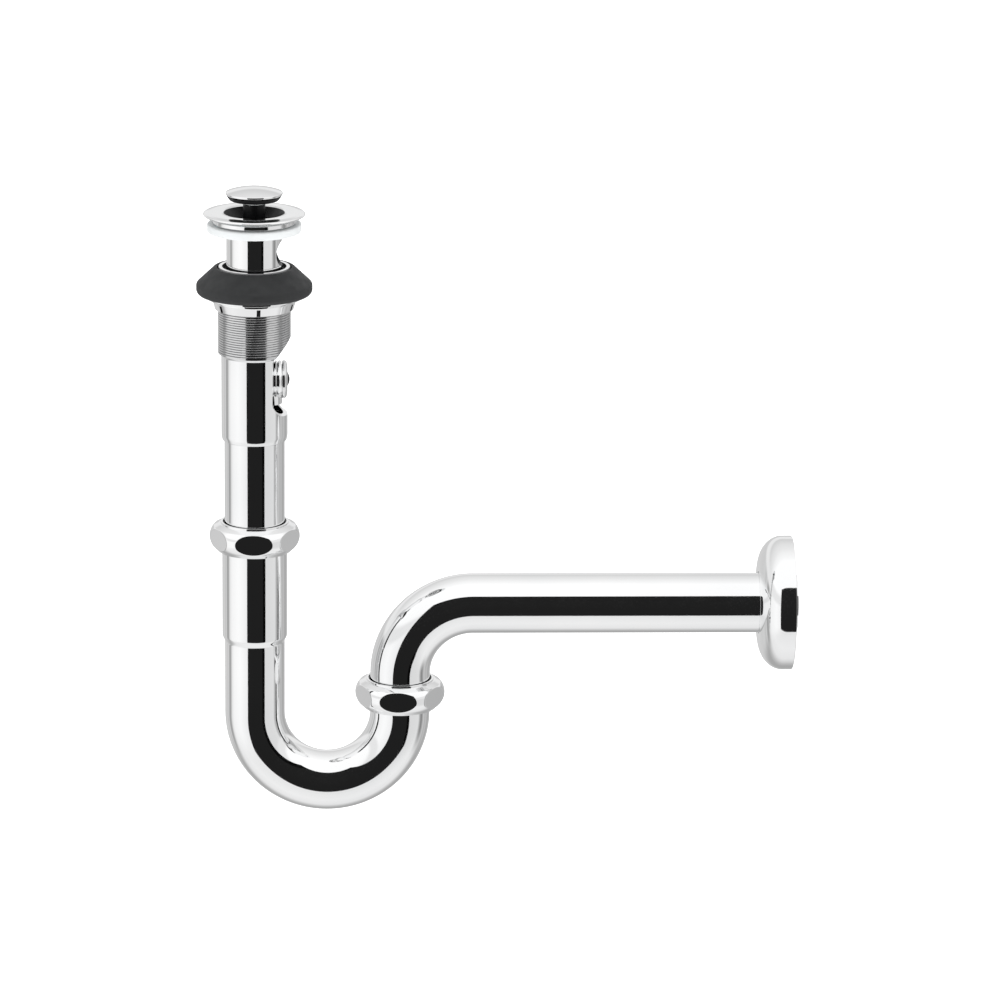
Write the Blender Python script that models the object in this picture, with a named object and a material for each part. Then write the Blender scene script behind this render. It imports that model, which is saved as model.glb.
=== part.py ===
"""Wash-basin P-trap with a lever-operated pop-up waste, 32 mm nominal pipe.

Every size is in millimetres and is turned into metres when a mesh is made.
The origin is on the drain's axis, in the plane where the basin's bottom meets
the flange gasket. +Z is up and +X points at the wall that the trap drains into.
"""

from math import asin, cos, pi, radians, sin, sqrt, tan

import bmesh
import bpy
from mathutils import Matrix, Vector

MM = 0.001
WELD = 1e-7
GAP = 0.3  # running gap between pieces that touch on the real trap

# Driving dimensions of the pipework
PIPE_R = 16.0
PIPE_WALL = 1.0
BORE_R = PIPE_R - PIPE_WALL
BEND_R = 38.5  # centre-line radius of both bends
OUTLET_X = 2 * BEND_R
BEND_Z = -260.8  # height of the U-bend's centre
WALL_AXIS_Z = -201.6
WALL_PIPE_END = 287.1
TAIL_TOP = -98.3
TAIL_END = -192.0
SOCKET_R = 17.2
SOCKET_BORE_R = PIPE_R + GAP
SOCKET_END = -218.7
SOCKET_TAPER = 3.3

# Union nuts: a rounded ring with six flats
NUT_CREST_R = 23.8
NUT_ROUND_R = 8.2  # radius of the ring's rounded section
NUT_APOTHEM = 21.75
NUT_TOP = 7.9  # from the widest plane of the nut
NUT_BOTTOM = -7.8
NUT_LIP_R = 17.9
NUT_SHOULDER = 4.0
NUT_THREAD_R = 18.6
NUT_HOLE_R = 16.7
COLLAR_R = 18.3
INLET_NUT_Z = -163.9
OUTLET_NUT_Z = -250.3

# Pop-up drain
FLANGE_R = 26.7
FLANGE_RIM_Z = 9.3
NECK_R = 14.6
NECK_BORE_R = 12.9
NECK_END = -26.0
GASKET_R = 24.6
GASKET_TOP = 4.4
BARREL_TOP = -18.5
BARREL_THREAD_R = 19.05
BARREL_THREAD_END = -64.7
BARREL_R = 17.4
BARREL_END = -111.5
BARREL_BORE_R = 15.0
CONE_TOP = -18.8
CONE_END = -33.2
CONE_R = 30.3
WASHER_R = 25.7
LOCK_NUT_R = 21.4
LOCK_NUT_TOP = -35.0
LOCK_NUT_END = -41.0

# Lever port in the side of the barrel
PORT_Z = -79.2
NOTCH_X = 9.4  # the flat that the port stands on
PAD_X = 5.0  # inner face of the thickened wall behind it
PAD_TOP = -67.0
PAD_END = -92.0
PORT_R = 10.0
PORT_BORE_R = 8.2
PORT_END_X = 14.2
BALL_X = 11.8
BALL_R = 6.6
LEVER_TILT = 29.5  # the inner end stands this many degrees up when the plug is open
LEVER_REACH = 20.0
LEVER_ROD_R = 2.0

# Plug
PLUG_SEAT_Z = 19.4  # underside of the cap, plug open
CAP_R = 14.9
STEM_R = 5.8
STEM_END = -50.3
CATCHER_R = 12.2
CATCHER_TOP = -3.0
CATCHER_END = -48.0
SCREW_R = 3.0

# Wall flange
ROSETTE_R = 35.6
ROSETTE_DEPTH = 17.7
ROSETTE_BACK_X = 284.5
ROSETTE_WALL = 1.2

FULL_ROUND = 36  # segments of the widest pieces
ROUND = 26
SMALL_ROUND = 20


def finish(name, colour, roughness, metallic):
    """A Principled material with one colour."""
    made = bpy.data.materials.new(name)
    made.use_nodes = True
    shader = made.node_tree.nodes["Principled BSDF"]
    shader.inputs["Base Color"].default_value = (*colour, 1.0)
    shader.inputs["Roughness"].default_value = roughness
    shader.inputs["Metallic"].default_value = metallic
    made.diffuse_color = (*colour, 1.0)
    return made


def pivot(empty):
    """World position of an empty: the sum of the locations up its chain of parents."""
    total = Vector()
    while empty:
        total += empty.location
        empty = empty.parent
    return total


def assembly(name, at=(0, 0, 0), parent=None):
    """An empty on a joint's axis, which carries the pieces of one moving body."""
    empty = bpy.data.objects.new(name, None)
    empty.empty_display_size = 10 * MM
    bpy.context.scene.collection.objects.link(empty)
    empty.location = Vector(at) * MM - pivot(parent)
    empty.parent = parent
    return empty


def place(name, bm, material, parent=None, location=(0, 0, 0), rotation=(0, 0, 0)):
    """Closes a bmesh into an object, located in millimetres."""
    bmesh.ops.remove_doubles(bm, verts=bm.verts, dist=WELD)
    bmesh.ops.recalc_face_normals(bm, faces=bm.faces)
    mesh = bpy.data.meshes.new(name)
    bm.to_mesh(mesh)
    bm.free()
    mesh.shade_smooth()
    mesh.set_sharp_from_angle(angle=radians(35))
    if material:
        mesh.materials.append(material)
    made = bpy.data.objects.new(name, mesh)
    bpy.context.scene.collection.objects.link(made)
    made.location = Vector(location) * MM
    made.rotation_euler = rotation
    if parent:
        made.parent = parent
        made.matrix_parent_inverse = Matrix.Translation(-pivot(parent))
    return made


def turned(name, outline, material=None, parent=None, segments=ROUND, **placing):
    """Spins an outline of (radius, height) points a full turn about local Z.

    An outline that starts and ends on the axis makes a solid piece, and any
    other one makes a ring.
    """
    bm = bmesh.new()
    verts = [bm.verts.new((r * MM, 0, z * MM)) for r, z in outline]
    edges = [bm.edges.new(pair) for pair in zip(verts, verts[1:])]
    if outline[0][0] > 0 or outline[-1][0] > 0:
        edges.append(bm.edges.new((verts[-1], verts[0])))
    bmesh.ops.spin(
        bm, geom=verts + edges, cent=(0, 0, 0), axis=(0, 0, 1), angle=2 * pi, steps=segments
    )
    return place(name, bm, material, parent, **placing)


def prism(name, outline, depth, material=None, parent=None, **placing):
    """Extrudes an outline of (x, z) points to both sides of Y = 0."""
    bm = bmesh.new()
    face = bm.faces.new([bm.verts.new((x * MM, -depth * MM, z * MM)) for x, z in outline])
    pushed = bmesh.ops.extrude_face_region(bm, geom=[face])["geom"]
    moved = [v for v in pushed if isinstance(v, bmesh.types.BMVert)]
    bmesh.ops.translate(bm, verts=moved, vec=(0, 2 * depth * MM, 0))
    return place(name, bm, material, parent, **placing)


def combine(target, tool, operation):
    """Joins, cuts or trims target with tool, which stays in the file as a wire guide."""
    modifier = target.modifiers.new(tool.name, "BOOLEAN")
    modifier.operation = operation
    modifier.object = tool
    tool.hide_render = True
    tool.display_type = "WIRE"


def arc(centre, radius, start, end, steps):
    """Points on a circle's arc, from start to end in degrees."""
    angles = [radians(start + (end - start) * i / steps) for i in range(steps + 1)]
    return [(centre[0] + radius * cos(a), centre[1] + radius * sin(a)) for a in angles]


def run_down(x, levels, heading=-90):
    """Straight stations on a vertical leg: (centre, heading, outer radius, inner radius)."""
    return [((x, z), heading, outer, inner) for z, outer, inner in levels]


def bend(centre, start, end, steps, turn):
    """Stations round a bend, without its two ends. turn is 90 or -90: the heading's lead."""
    points = arc(centre, BEND_R, start, end, steps)
    angles = [start + (end - start) * i / steps for i in range(steps + 1)]
    return [(p, a + turn, PIPE_R, BORE_R) for p, a in zip(points, angles)][1:-1]


def pipe(name, stations, material, parent=None, segments=ROUND, **placing):
    """A hollow pipe through stations that lie in the XZ plane, with open ends."""
    bm = bmesh.new()
    rings = []
    for (x, z), heading, outer, inner in stations:
        across = Vector((-sin(radians(heading)), 0, cos(radians(heading))))
        centre = Vector((x, 0, z))
        pair = []
        for radius in (outer, inner):
            ring = []
            for k in range(segments):
                turn = 2 * pi * k / segments
                point = centre + radius * (cos(turn) * across + sin(turn) * Vector((0, 1, 0)))
                ring.append(bm.verts.new(point * MM))
            pair.append(ring)
        rings.append(pair)

    def band(first, second):
        for k in range(segments):
            after = (k + 1) % segments
            bm.faces.new((first[k], first[after], second[after], second[k]))

    for before, behind in zip(rings, rings[1:]):
        band(before[0], behind[0])
        band(before[1], behind[1])
    band(*rings[0])
    band(*rings[-1])
    return place(name, bm, material, parent, **placing)


# ---------------------------------------------------------------- pop-up drain


def drain_flange(chrome, parent):
    """Turned flange and neck: a flat crowned rim, a conical plug seat and an overflow window."""
    spigot_r = BARREL_BORE_R - GAP
    seat_foot = 4.8
    mouth_z = 9.8
    mouth_r = NECK_BORE_R + (mouth_z - seat_foot) * 0.62
    outline = [
        (NECK_BORE_R, NECK_END),
        (spigot_r, NECK_END),
        (spigot_r, BARREL_TOP + GAP),
        (NECK_R, BARREL_TOP + 2 * GAP),
        (NECK_R, GASKET_TOP + GAP),
        (21.8, GASKET_TOP + GAP),
        (21.8, 7.2),
        (23.8, 8.1),
        (FLANGE_R - 0.5, FLANGE_RIM_Z - 0.6),
        (FLANGE_R, FLANGE_RIM_Z),
        (FLANGE_R - 0.6, FLANGE_RIM_Z + 0.7),
        (22.5, 10.5),
        (18.0, 10.4),
        (mouth_r, mouth_z),
        (NECK_BORE_R, seat_foot),
    ]
    made = turned("drain_flange", outline, chrome, parent, segments=FULL_ROUND)
    half_width, half_height = 9.0, 6.6
    corner = 6.0
    window = [
        point
        for cx, cz, start in ((1, 1, 0), (-1, 1, 90), (-1, -1, 180), (1, -1, 270))
        for point in arc(
            (cx * (half_width - corner), cz * (half_height - corner)),
            corner,
            start,
            start + 90,
            4,
        )
    ]
    cutter = prism(
        "overflow_window", window, depth=6, location=(NECK_R, 0, -11.0), rotation=(0, 0, pi / 2)
    )
    combine(made, cutter, "DIFFERENCE")
    return made


def drain_barrel(chrome, parent):
    """Cast barrel, solid first: notched at the side, the port raised on it, then bored out."""
    outline = [
        (0, BARREL_END),
        (16.9, BARREL_END),
        (BARREL_R, BARREL_END + 2.4),
        (BARREL_R, BARREL_THREAD_END - 1.4),
        (BARREL_THREAD_R, BARREL_THREAD_END),
        (BARREL_THREAD_R, BARREL_TOP - 0.8),
        (BARREL_THREAD_R - 0.8, BARREL_TOP),
        (0, BARREL_TOP),
    ]
    made = turned("drain_barrel", outline, chrome, parent, segments=FULL_ROUND)

    outside = 22.0
    slope = 1.158
    scoop = 8.5
    notch = [(outside, PORT_Z - 9.8 - scoop), (NOTCH_X + scoop, PORT_Z - 9.8 - scoop)]
    notch += arc((NOTCH_X + scoop, PORT_Z - 9.8), scoop, 270, 180, 5)[1:]
    notch += [(NOTCH_X, -66.9), (outside, -66.9 + slope * (outside - NOTCH_X))]
    combine(made, prism("port_notch", notch, depth=24), "DIFFERENCE")

    across = {"rotation": (0, pi / 2, 0)}
    boss = turned(
        "port_boss",
        [(0, PAD_X + 1.5), (PORT_R, PAD_X + 1.5), (PORT_R, PORT_END_X - 0.5),
         (PORT_R - 0.5, PORT_END_X), (0, PORT_END_X)],
        segments=SMALL_ROUND,
        location=(0, 0, PORT_Z),
        **across,
    )
    combine(made, boss, "UNION")
    rib = turned(
        "port_rib",
        [(0, -98.2), (5.9, -98.2), (5.9, -80.0), (0, -80.0)],
        segments=20,
        location=(8.6, 0, 0),
    )
    combine(made, rib, "UNION")

    above = [(0, PAD_TOP), (BARREL_BORE_R, PAD_TOP), (BARREL_BORE_R, 0), (0, 0)]
    combine(made, turned("bore_above", above, segments=ROUND), "DIFFERENCE")
    below = [
        (0, BARREL_END - 5),
        (PIPE_R + GAP, BARREL_END - 5),
        (PIPE_R + GAP, TAIL_TOP + GAP),
        (BARREL_BORE_R, TAIL_TOP + GAP),
        (BARREL_BORE_R, PAD_END),
        (0, PAD_END),
    ]
    combine(made, turned("bore_below", below, segments=ROUND), "DIFFERENCE")
    combine(made, flat_sided_bore(), "DIFFERENCE")
    port_bore = turned(
        "port_bore",
        [(0, 0.5), (6.5, 0.5), (6.5, 7.1), (PORT_BORE_R, 7.1), (PORT_BORE_R, 18), (0, 18)],
        segments=SMALL_ROUND,
        location=(0, 0, PORT_Z),
        **across,
    )
    combine(made, port_bore, "DIFFERENCE")
    return made


def flat_sided_bore():
    """The waterway past the port: round, with a flat where the wall thickens."""
    reach = 0.15  # runs a little into the round bores above and below
    half = 180 - asin(sqrt(1 - (PAD_X / BARREL_BORE_R) ** 2)) * 180 / pi
    bm = bmesh.new()
    rim = arc((0, 0), BARREL_BORE_R, 180 - half, 180 + half, 26)
    face = bm.faces.new([bm.verts.new((x * MM, y * MM, (PAD_END - reach) * MM)) for x, y in rim])
    pushed = bmesh.ops.extrude_face_region(bm, geom=[face])["geom"]
    moved = [v for v in pushed if isinstance(v, bmesh.types.BMVert)]
    rise = (PAD_TOP - PAD_END + 2 * reach) * MM
    bmesh.ops.translate(bm, verts=moved, vec=(0, 0, rise))
    return place("bore_flat", bm, None)


def drain(chrome, white, parent):
    drain_flange(chrome, parent)
    drain_barrel(chrome, parent)
    pipe(
        "tail_pipe",
        run_down(0, [(TAIL_TOP, PIPE_R, BORE_R), (TAIL_END, PIPE_R, BORE_R)]),
        chrome,
        parent,
    )
    turned(
        "basin_gasket",
        [(NECK_R + 0.4, 0), (GASKET_R - 0.8, 0), (GASKET_R, 0.8), (GASKET_R, GASKET_TOP - 0.8),
         (GASKET_R - 0.8, GASKET_TOP), (NECK_R + 0.4, GASKET_TOP)],
        white,
        parent,
    )


def lever_port(chrome, white, parent):
    """The gland that holds the lever's ball, and the seat behind the ball."""
    lip_r = 6.0
    turned(
        "lever_gland",
        [(6.9, 10.8), (7.9, 10.8), (7.9, PORT_END_X + GAP), (PORT_R, PORT_END_X + GAP),
         (PORT_R, 16.0), (9.2, 16.8), (7.2, 17.3), (lip_r, 17.3), (lip_r, 15.1), (6.9, 13.9)],
        chrome,
        parent,
        segments=SMALL_ROUND,
        location=(0, 0, PORT_Z),
        rotation=(0, pi / 2, 0),
    )
    turned(
        "lever_seat",
        [(5.9, 7.4), (7.9, 7.4), (7.9, 8.5), (5.9, 8.5)],
        white,
        parent,
        segments=SMALL_ROUND,
        location=(0, 0, PORT_Z),
        rotation=(0, pi / 2, 0),
    )


def lever(steel, black, parent):
    """Ball and rod, modelled along local X with the ball's centre at the origin."""
    placing = {
        "location": (BALL_X, 0, PORT_Z),
        "rotation": (0, pi / 2 + radians(LEVER_TILT), 0),
    }
    socket_r, socket_depth = 1.8, 4.0
    hole_r = LEVER_ROD_R + GAP
    steps = 8
    lowest = -sqrt(BALL_R**2 - hole_r**2)
    highest = sqrt(BALL_R**2 - socket_r**2)
    start = asin(lowest / BALL_R) * 180 / pi
    end = asin(highest / BALL_R) * 180 / pi
    outline = [(0, -2.0), (hole_r, -2.0)]
    outline += arc((0, 0), BALL_R, start, end, steps)
    outline += [(socket_r, highest - socket_depth), (0, highest - socket_depth)]
    turned("lever_ball", outline, black, parent, segments=20, **placing)
    tip = LEVER_REACH - LEVER_ROD_R
    rod = [(0, -LEVER_REACH)]
    rod += arc((0, -tip), LEVER_ROD_R, 270, 360, 3)[1:]
    rod += [(LEVER_ROD_R, -2.3), (0, -2.3)]
    turned("lever_rod", rod, steel, parent, segments=16, **placing)


def plug(chrome, black, rubber, white, steel, parent):
    """Cap, seal, stem, hair catcher and the screw that sets the plug's height."""
    hub_r = 6.4
    hub_end = PLUG_SEAT_Z - 2.9
    retainer_top = hub_end - GAP
    retainer_end = retainer_top - 1.0
    stem_top = retainer_end - GAP
    cap_edge = PLUG_SEAT_Z + 1.4
    crown = 2.6
    dome_r = (CAP_R**2 + crown**2) / (2 * crown)
    half = asin(CAP_R / dome_r) * 180 / pi
    outline = [
        (0, hub_end),
        (hub_r, hub_end),
        (hub_r, PLUG_SEAT_Z),
        (CAP_R - 0.7, PLUG_SEAT_Z),
        (CAP_R, PLUG_SEAT_Z + 0.6),
    ]
    outline += arc((0, cap_edge + crown - dome_r), dome_r, 90 - half, 90, 5)
    turned("plug_cap", outline, chrome, parent)
    turned(
        "plug_seal",
        [(hub_r + GAP, hub_end + GAP), (12.8, hub_end + GAP), (14.4, PLUG_SEAT_Z - GAP),
         (hub_r + GAP, PLUG_SEAT_Z - GAP)],
        rubber,
        parent,
    )
    turned(
        "seal_retainer",
        [(2.4, retainer_end), (7.2, retainer_end), (7.2, retainer_top), (2.4, retainer_top)],
        white,
        parent,
        segments=SMALL_ROUND,
    )
    turned(
        "plug_stem",
        [(SCREW_R + GAP, STEM_END), (STEM_R, STEM_END), (STEM_R, stem_top - 0.5),
         (STEM_R - 0.5, stem_top), (0, stem_top), (0, STEM_END + 12),
         (SCREW_R + GAP, STEM_END + 12)],
        black,
        parent,
        segments=SMALL_ROUND,
    )
    hair_catcher(black, parent)
    height_screw(steel, parent)


def hair_catcher(black, parent):
    """A sleeve on the stem with six fins and two hoops, all one moulding."""
    sleeve_r = STEM_R + GAP + 1.3
    sleeve = [(0, CATCHER_END), (sleeve_r, CATCHER_END), (sleeve_r, CATCHER_TOP), (0, CATCHER_TOP)]
    made = turned("hair_catcher", sleeve, black, parent, segments=24)
    for k in range(3):
        half = CATCHER_R - 0.6
        plate = [
            (-half, CATCHER_END + 0.6), (half, CATCHER_END + 0.6),
            (half, CATCHER_TOP - 0.6), (-half, CATCHER_TOP - 0.6),
        ]
        fin = prism(f"catcher_fin_{k}", plate, depth=0.7, rotation=(0, 0, radians(30 + 60 * k)))
        combine(made, fin, "UNION")
    for k, foot in enumerate((CATCHER_END, -20.0)):
        hoop = [
            (CATCHER_R - 1.6, foot + 0.2), (CATCHER_R, foot + 0.2),
            (CATCHER_R, foot + 2.2), (CATCHER_R - 1.6, foot + 2.2),
        ]
        combine(made, turned(f"catcher_hoop_{k}", hoop, segments=24), "UNION")
    hole_r = STEM_R + GAP
    hole = [(0, CATCHER_END - 3), (hole_r, CATCHER_END - 3), (hole_r, 3), (0, 3)]
    combine(made, turned("catcher_hole", hole, segments=24), "DIFFERENCE")
    return made


def height_screw(steel, parent):
    """The screw rests on the lever's rod with its rounded foot; a hex nut locks it."""
    foot = foot_centre()
    outline = [(0, foot - SCREW_R)]
    outline += arc((0, foot), SCREW_R, 270, 360, 4)[1:]
    outline += [(SCREW_R, STEM_END + 11), (0, STEM_END + 11)]
    turned("height_screw", outline, steel, parent, segments=20)
    hole_r = (SCREW_R + GAP) / cos(pi / 6)
    turned(
        "screw_lock_nut",
        [(hole_r, STEM_END - 2.4), (6.4, STEM_END - 2.4), (6.4, STEM_END - GAP),
         (hole_r, STEM_END - GAP)],
        steel,
        parent,
        segments=6,
    )


def foot_centre():
    """Height of the screw's foot when it rests on the raised lever."""
    clearance = 0.4
    line = PORT_Z + BALL_X * tan(radians(LEVER_TILT))
    return line + (LEVER_ROD_R + SCREW_R + clearance) / cos(radians(LEVER_TILT))


def basin_clamp(chrome, rubber, parent):
    """The rubber cone and the washer that the lock nut pushes up under the basin."""
    hole_r = BARREL_THREAD_R + 0.35
    turned(
        "cone_gasket",
        [(hole_r, CONE_END), (28.4, CONE_END), (29.8, -32.0), (CONE_R, -30.7), (CONE_R, -28.3),
         (29.6, -27.1), (21.4, CONE_TOP - 0.3), (20.6, CONE_TOP), (hole_r, CONE_TOP)],
        rubber,
        parent,
        segments=FULL_ROUND,
    )
    turned(
        "thrust_washer",
        [(hole_r, -34.7), (WASHER_R, -34.7), (WASHER_R, CONE_END - GAP),
         (hole_r, CONE_END - GAP)],
        chrome,
        parent,
    )


def lock_nut(chrome, parent):
    """A tapered ring nut, slotted from below for a pin spanner."""
    hole_r = BARREL_THREAD_R + 0.35
    made = turned(
        "lock_nut",
        [(hole_r, LOCK_NUT_END), (20.6, LOCK_NUT_END), (LOCK_NUT_R + 0.6, LOCK_NUT_TOP - 1.2),
         (LOCK_NUT_R + 0.6, LOCK_NUT_TOP), (hole_r, LOCK_NUT_TOP)],
        chrome,
        parent,
        segments=FULL_ROUND,
    )
    reach = LOCK_NUT_R + 3
    slot_top = LOCK_NUT_END + 3.6
    for k in range(3):
        slot = [(-reach, -45), (reach, -45), (reach, slot_top), (-reach, slot_top)]
        cutter = prism(f"nut_slot_{k}", slot, depth=1.0, rotation=(0, 0, radians(-84 + 60 * k)))
        combine(made, cutter, "DIFFERENCE")
    return made


# ---------------------------------------------------------------- pipework


def union_nut(name, centre_z, turn, material, parent, x=0.0):
    """A nut with a rounded section, a lip round its pipe hole, and six flats cut into its crest.

    turn is how many degrees the front flat stands off the -Y direction.
    """
    ring_centre = NUT_CREST_R - NUT_ROUND_R
    lip_foot = NUT_TOP - 1.0
    outline = [(NUT_THREAD_R + 0.8, NUT_BOTTOM)]
    outline += arc((ring_centre, 0), NUT_ROUND_R, -52, 44, 7)
    outline += [
        (NUT_LIP_R + 0.8, lip_foot),
        (NUT_LIP_R, lip_foot),
        (NUT_LIP_R, NUT_TOP),
        (NUT_HOLE_R, NUT_TOP),
        (NUT_HOLE_R, NUT_SHOULDER),
        (NUT_THREAD_R, NUT_SHOULDER),
        (NUT_THREAD_R, NUT_BOTTOM),
    ]
    location = (x, 0, centre_z)
    made = turned(name, outline, material, parent, segments=FULL_ROUND, location=location)
    bm = bmesh.new()
    bmesh.ops.create_cone(
        bm,
        cap_ends=True,
        segments=6,
        radius1=NUT_APOTHEM / cos(pi / 6) * MM,
        radius2=NUT_APOTHEM / cos(pi / 6) * MM,
        depth=30 * MM,
        matrix=Matrix.Rotation(pi / 2 + radians(turn), 4, "Z"),
    )
    flats = place(name + "_flats", bm, None, location=location)
    combine(made, flats, "INTERSECT")
    return made


def inlet_joint(chrome, rubber, white, slider, washer, nut):
    """The slip joint: a rubber ring grips the tail pipe, under a washer and the nut."""
    hole_r = PIPE_R + 0.35
    shoulder = INLET_NUT_Z + NUT_SHOULDER
    turned(
        "inlet_packing",
        [(hole_r, shoulder - 6.5), (16.75, shoulder - 6.5), (17.2, shoulder - 5.2),
         (18.1, shoulder - 4.9), (18.1, shoulder - 1.8), (hole_r, shoulder - 1.8)],
        rubber,
        slider,
        segments=SMALL_ROUND,
    )
    turned(
        "inlet_slip_washer",
        [(hole_r, shoulder - 1.5), (18.2, shoulder - 1.5), (18.2, shoulder - GAP),
         (hole_r, shoulder - GAP)],
        white,
        washer,
        segments=SMALL_ROUND,
    )
    union_nut("inlet_nut", INLET_NUT_Z, -1.8, chrome, nut)


def trap_bend(chrome, parent):
    """Socketed U-bend: a threaded collar at each end, a telescoping socket on the inlet leg."""
    mouth = INLET_NUT_Z - 1.4
    collar_foot = INLET_NUT_Z - 7.4
    inlet = run_down(
        0,
        [
            (mouth, COLLAR_R, 17.6),
            (mouth - 3.3, COLLAR_R, SOCKET_BORE_R),
            (collar_foot, COLLAR_R, SOCKET_BORE_R),
            (collar_foot - 0.4, SOCKET_R, SOCKET_BORE_R),
            (SOCKET_END, SOCKET_R, SOCKET_BORE_R),
            (SOCKET_END - SOCKET_TAPER, PIPE_R, BORE_R),
            (BEND_Z, PIPE_R, BORE_R),
        ],
    )
    turn = bend((BEND_R, BEND_Z), 180, 360, 12, 90)
    outlet = run_down(
        OUTLET_X,
        [
            (BEND_Z, PIPE_R, BORE_R),
            (OUTLET_NUT_Z - 7.6, PIPE_R, BORE_R),
            (OUTLET_NUT_Z - 7.2, COLLAR_R, BORE_R),
            (OUTLET_NUT_Z - 1.7, COLLAR_R, BORE_R),
        ],
        heading=90,
    )
    pipe("trap_bend", inlet + turn + outlet, chrome, parent)


def outlet_joint(chrome, rubber, white, trap, ring, nut):
    """The swivel joint: the wall pipe's flared end on a flat ring, held down by the nut."""
    turned(
        "outlet_packing",
        [(BORE_R + 0.4, -251.7), (18.1, -251.7), (18.1, -249.7), (BORE_R + 0.4, -249.7)],
        rubber,
        trap,
        segments=SMALL_ROUND,
        location=(OUTLET_X, 0, 0),
    )
    turned(
        "outlet_slip_ring",
        [(PIPE_R + 0.35, -247.9), (18.2, -247.9), (18.2, -246.6), (PIPE_R + 0.35, -246.6)],
        white,
        ring,
        segments=SMALL_ROUND,
        location=(OUTLET_X, 0, 0),
    )
    union_nut("outlet_nut", OUTLET_NUT_Z, -4.6, chrome, nut, x=OUTLET_X)


def wall_pipe(chrome, parent):
    """Pipe from the flare in the outlet nut, round a quarter bend, to the wall."""
    lift = run_down(
        OUTLET_X,
        [
            (-249.4, 18.0, BORE_R),
            (-248.2, 18.0, BORE_R),
            (-247.9, PIPE_R, BORE_R),
            (WALL_AXIS_Z - BEND_R, PIPE_R, BORE_R),
        ],
        heading=90,
    )
    centre = (OUTLET_X + BEND_R, WALL_AXIS_Z - BEND_R)
    turn = bend(centre, 180, 90, 6, -90)
    run = [
        ((OUTLET_X + BEND_R, WALL_AXIS_Z), 0, PIPE_R, BORE_R),
        ((WALL_PIPE_END, WALL_AXIS_Z), 0, PIPE_R, BORE_R),
    ]
    pipe("wall_pipe", lift + turn + run, chrome, parent)


def rosette_outline(inset):
    """The rosette's domed section as (radius, distance from the wall), set in by inset."""
    centre_r, centre_x = 20.0, 5.0
    points = []
    steps = 6
    for i in range(steps + 1):
        angle = radians(90 - 90 * i / steps)
        across = (ROSETTE_R - centre_r - inset) * cos(angle)
        along = (ROSETTE_DEPTH - centre_x - inset) * sin(angle)
        points.append((centre_r + across, centre_x + along))
    return points


def wall_flange(chrome, rubber, grip, rosette):
    """A thin domed rosette over the hole in the wall, with the ring that grips the pipe."""
    hole_r = PIPE_R + 0.6
    outer = [(r, ROSETTE_BACK_X - x) for r, x in rosette_outline(0)]
    inner = [(r, ROSETTE_BACK_X - x) for r, x in rosette_outline(ROSETTE_WALL)]
    outline = [(hole_r, ROSETTE_BACK_X - ROSETTE_DEPTH + 0.4), (hole_r + 0.4, outer[0][1])]
    outline += outer
    outline += [(ROSETTE_R, ROSETTE_BACK_X), (ROSETTE_R - ROSETTE_WALL, ROSETTE_BACK_X)]
    outline += inner[::-1]
    outline += [(hole_r, inner[0][1])]
    lying = {"location": (0, 0, WALL_AXIS_Z), "rotation": (0, pi / 2, 0)}
    turned("wall_flange", outline, chrome, rosette, segments=FULL_ROUND, **lying)
    front = inner[0][1] + GAP
    turned(
        "flange_grip",
        [(PIPE_R + 0.3, front), (19.4, front), (19.4, front + 3.6), (PIPE_R + 0.3, front + 3.6)],
        rubber,
        grip,
        **lying,
    )


def main():
    for old in list(bpy.data.objects):
        bpy.data.objects.remove(old)

    chrome = finish("chrome", (0.86, 0.86, 0.87), 0.05, 1.0)
    steel = finish("stainless_steel", (0.62, 0.62, 0.61), 0.3, 1.0)
    black = finish("black_plastic", (0.02, 0.02, 0.022), 0.35, 0.0)
    rubber = finish("black_rubber", (0.03, 0.03, 0.032), 0.65, 0.0)
    white = finish("white_plastic", (0.85, 0.86, 0.86), 0.4, 0.0)

    drain_body = assembly("drain_body")
    lever_body = assembly("lever_body", (BALL_X, 0, PORT_Z), drain_body)
    plug_body = assembly("plug_body", (0, 0, PLUG_SEAT_Z), drain_body)
    clamp_body = assembly("clamp_body", (0, 0, CONE_END), drain_body)
    lock_nut_body = assembly("lock_nut_body", (0, 0, LOCK_NUT_TOP), clamp_body)
    slider_body = assembly("slider_body", (0, 0, INLET_NUT_Z), drain_body)
    trap_body = assembly("trap_body", (0, 0, INLET_NUT_Z), slider_body)
    inlet_washer_body = assembly("inlet_washer_body", (0, 0, INLET_NUT_Z), trap_body)
    inlet_nut_body = assembly("inlet_nut_body", (0, 0, INLET_NUT_Z), inlet_washer_body)
    outlet_ring_body = assembly("outlet_ring_body", (OUTLET_X, 0, OUTLET_NUT_Z), trap_body)
    outlet_nut_body = assembly("outlet_nut_body", (OUTLET_X, 0, OUTLET_NUT_Z), outlet_ring_body)
    arm_body = assembly("arm_body", (OUTLET_X, 0, WALL_AXIS_Z), trap_body)
    grip_body = assembly("grip_body", (ROSETTE_BACK_X, 0, WALL_AXIS_Z), arm_body)
    rosette_body = assembly("rosette_body", (ROSETTE_BACK_X, 0, WALL_AXIS_Z), grip_body)

    drain(chrome, white, drain_body)
    lever_port(chrome, white, drain_body)
    lever(steel, black, lever_body)
    plug(chrome, black, rubber, white, steel, plug_body)
    basin_clamp(chrome, rubber, clamp_body)
    lock_nut(chrome, lock_nut_body)
    inlet_joint(chrome, rubber, white, slider_body, inlet_washer_body, inlet_nut_body)
    trap_bend(chrome, trap_body)
    outlet_joint(chrome, rubber, white, trap_body, outlet_ring_body, outlet_nut_body)
    wall_pipe(chrome, arm_body)
    wall_flange(chrome, rubber, grip_body, rosette_body)


main()
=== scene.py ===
"""Looks of a wash-basin P-trap with a pop-up waste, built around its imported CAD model.

The frame is in metres. Sizes of single pieces are in millimetres and are scaled
when a mesh is made. Heights and radii that the CAD model fixes are read from it.
"""

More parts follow.
